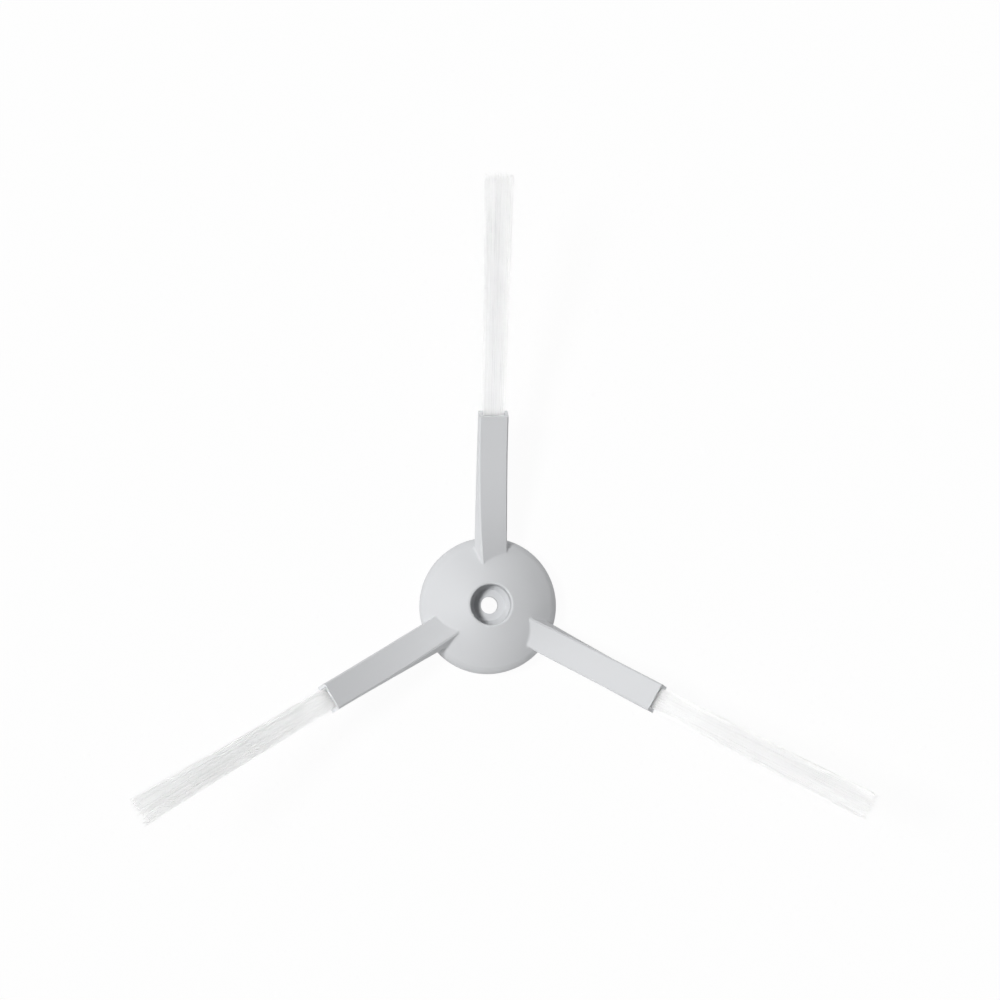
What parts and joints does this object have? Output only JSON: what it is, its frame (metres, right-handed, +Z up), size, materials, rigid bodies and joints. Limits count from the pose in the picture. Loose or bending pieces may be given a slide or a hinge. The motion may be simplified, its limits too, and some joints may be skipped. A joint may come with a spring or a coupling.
{
  "type": "robot vacuum side brush",
  "caption": "Robot vacuum side brush: domed hub with a stepped screw hole, twisted arms that rise outward and end in flat tubes holding soft white bristle tufts.",
  "frame": {"origin": "on the spin axis, in the plane of the hub's underside rim", "axes": "+Z up along the spin axis, towards the floor side of the brush that the picture shows; +Y along the first arm"},
  "size_m": [0.1262, 0.1105, 0.0358],
  "materials": {
    "grey_plastic": "satin moulded",
    "white_nylon": "slightly translucent filament"
  },
  "bodies": {
    "root": {"brush_body": "grey_plastic", "bristle_tuft_1": "white_nylon", "bristle_tuft_2": "white_nylon", "bristle_tuft_3": "white_nylon"}
  },
  "joints": []
}
